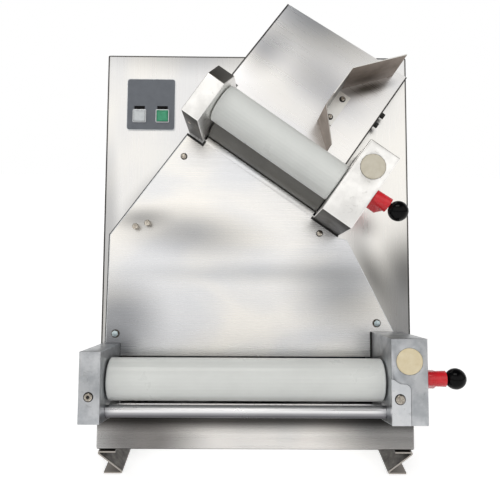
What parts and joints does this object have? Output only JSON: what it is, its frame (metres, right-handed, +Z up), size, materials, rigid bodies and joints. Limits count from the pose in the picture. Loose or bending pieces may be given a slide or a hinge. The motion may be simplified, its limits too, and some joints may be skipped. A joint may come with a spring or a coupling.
{
  "type": "dough sheeter",
  "caption": "Table-top electric dough roller: leaning steel housing, short inclined roller pair above a long level pair, feed chute, slide plate and thickness levers.",
  "frame": {"origin": "centre of the machine's bounding box, on the surface that its two feet stand on", "axes": "+Z up, +Y from the front of the machine to its back, +X to the right seen from the front"},
  "size_m": [0.5592, 0.4582, 0.7438],
  "materials": {
    "stainless": "brushed",
    "head_metal": "satin",
    "plated_steel": "zinc plated",
    "polished_steel": "polished",
    "roller_polymer": "ground food-grade plastic",
    "red_lever": "moulded",
    "black_knob": "polished phenolic",
    "cream_plug": "turned nylon",
    "panel_grey": "satin",
    "white_button": "moulded",
    "green_button": "moulded",
    "belt_rubber": "matt",
    "motor_metal": "painted",
    "box_plastic": "moulded"
  },
  "bodies": {
    "machine": {"body_shell": "stainless", "rear_cover": "stainless", "base_plate": "stainless", "slide_plate": "stainless", "lower_front_panel": "stainless", "upper_chute": "stainless", "chute_guide": "stainless", "left_foot": "stainless", "right_foot": "stainless", "control_panel": "panel_grey", "left_stop_pin": "stainless", "right_stop_pin": "stainless", "lower_left_head": "head_metal", "lower_right_head": "head_metal", "upper_left_head": "head_metal", "upper_right_head": "head_metal", "lower_right_cover": "head_metal", "lower_plug": "cream_plug", "upper_plug": "cream_plug", "guard_bar": "polished_steel", "lower_scraper": "stainless", "upper_scraper": "stainless", "lower_left_side_plate": "plated_steel", "lower_right_side_plate": "plated_steel", "upper_left_side_plate": "plated_steel", "upper_right_side_plate": "plated_steel", "lower_gearmotor": "motor_metal", "upper_gearmotor": "motor_metal", "lower_drive_belt": "belt_rubber", "upper_drive_belt": "belt_rubber", "plate_upper_left_screw": "plated_steel", "plate_upper_right_screw": "plated_steel", "plate_lower_left_screw": "plated_steel", "plate_lower_right_screw": "plated_steel", "electrical_box": "box_plastic", "cable_gland": "black_knob"},
    "lower_rear_spindle": {"lower_rear_roller": "roller_polymer", "lower_rear_gear": "plated_steel", "lower_roller_pulley": "plated_steel"},
    "lower_carrier": {"lower_left_block": "plated_steel", "lower_right_block": "plated_steel"},
    "lower_front_spindle": {"lower_front_roller": "roller_polymer", "lower_front_gear": "plated_steel"},
    "lower_motor_output": {"lower_motor_pulley": "plated_steel"},
    "lower_thickness_lever": {"lower_lever": "red_lever", "lower_lever_shaft": "polished_steel"},
    "lower_index_knob": {"lower_knob": "black_knob"},
    "upper_rear_spindle": {"upper_rear_roller": "roller_polymer", "upper_rear_gear": "plated_steel", "upper_roller_pulley": "plated_steel"},
    "upper_carrier": {"upper_left_block": "plated_steel", "upper_right_block": "plated_steel"},
    "upper_front_spindle": {"upper_front_roller": "roller_polymer", "upper_front_gear": "plated_steel"},
    "upper_motor_output": {"upper_motor_pulley": "plated_steel"},
    "upper_thickness_lever": {"upper_lever": "red_lever", "upper_lever_shaft": "polished_steel"},
    "upper_index_knob": {"upper_knob": "black_knob"},
    "stop_push": {"stop_button": "white_button"},
    "start_push": {"start_button": "green_button"}
  },
  "joints": [
    {"name": "lower_rear_spin", "type": "hinge", "parent": "machine", "child": "lower_rear_spindle", "pos_m": [-0.0456, -0.10346, 0.14437], "axis": [1, 0, 0], "continuous": true},
    {"name": "lower_carrier_slide", "type": "slide", "parent": "machine", "child": "lower_carrier", "axis": [0, 0.9063, -0.4226], "range_m": [0, 0.004]},
    {"name": "lower_front_spin", "type": "hinge", "parent": "lower_carrier", "child": "lower_front_spindle", "pos_m": [-0.0456, -0.16382, 0.17252], "axis": [1, 0, 0], "continuous": true},
    {"name": "lower_motor_spin", "type": "hinge", "parent": "machine", "child": "lower_motor_output", "pos_m": [-0.0456, -0.00228, 0.12244], "axis": [1, 0, 0], "continuous": true},
    {"name": "lower_lever_turn", "type": "hinge", "parent": "machine", "child": "lower_thickness_lever", "pos_m": [-0.0456, -0.18017, 0.18104], "axis": [-1, 0, 0], "range_deg": [0, 180]},
    {"name": "lower_knob_pull", "type": "slide", "parent": "lower_thickness_lever", "child": "lower_index_knob", "axis": [1, 0, 0], "range_m": [0, 0.006], "stiffness_N_per_m": 800, "springref_m": -0.003},
    {"name": "upper_rear_spin", "type": "hinge", "parent": "machine", "child": "upper_rear_spindle", "pos_m": [-0.00363, -0.00467, 0.48987], "axis": [0.8192, -0.1485, -0.554], "continuous": true},
    {"name": "upper_carrier_slide", "type": "slide", "parent": "machine", "child": "upper_carrier", "axis": [-0.0996, 0.9144, -0.3923], "range_m": [0, 0.004]},
    {"name": "upper_front_spin", "type": "hinge", "parent": "upper_carrier", "child": "upper_front_spindle", "pos_m": [0.003, -0.06557, 0.51599], "axis": [0.8192, -0.1485, -0.554], "continuous": true},
    {"name": "upper_motor_spin", "type": "hinge", "parent": "machine", "child": "upper_motor_output", "pos_m": [-0.00077, 0.09048, 0.46861], "axis": [0.8192, -0.1485, -0.554], "continuous": true},
    {"name": "upper_lever_turn", "type": "hinge", "parent": "machine", "child": "upper_thickness_lever", "pos_m": [0.00529, -0.08211, 0.52382], "axis": [-0.8192, 0.1485, 0.554], "range_deg": [0, 180]},
    {"name": "upper_knob_pull", "type": "slide", "parent": "upper_thickness_lever", "child": "upper_index_knob", "axis": [0.8192, -0.1485, -0.554], "range_m": [0, 0.006], "stiffness_N_per_m": 800, "springref_m": -0.003},
    {"name": "stop_press", "type": "slide", "parent": "machine", "child": "stop_push", "axis": [0, 0.9659, -0.2588], "range_m": [0, 0.0025], "stiffness_N_per_m": 600, "springref_m": -0.001},
    {"name": "start_press", "type": "slide", "parent": "machine", "child": "start_push", "axis": [0, 0.9659, -0.2588], "range_m": [0, 0.0025], "stiffness_N_per_m": 600, "springref_m": -0.001}
  ],
  "couplings": [
    {"joint": "lower_front_spin", "follows": "lower_rear_spin", "ratio": -1},
    {"joint": "lower_motor_spin", "follows": "lower_rear_spin", "ratio": 1},
    {"joint": "upper_rear_spin", "follows": "lower_rear_spin", "ratio": 1},
    {"joint": "upper_front_spin", "follows": "lower_rear_spin", "ratio": -1},
    {"joint": "upper_motor_spin", "follows": "lower_rear_spin", "ratio": 1},
    {"joint": "lower_lever_turn", "follows": "lower_carrier_slide", "rad_per_m": 785.39},
    {"joint": "upper_lever_turn", "follows": "upper_carrier_slide", "rad_per_m": 785.39}
  ]
}
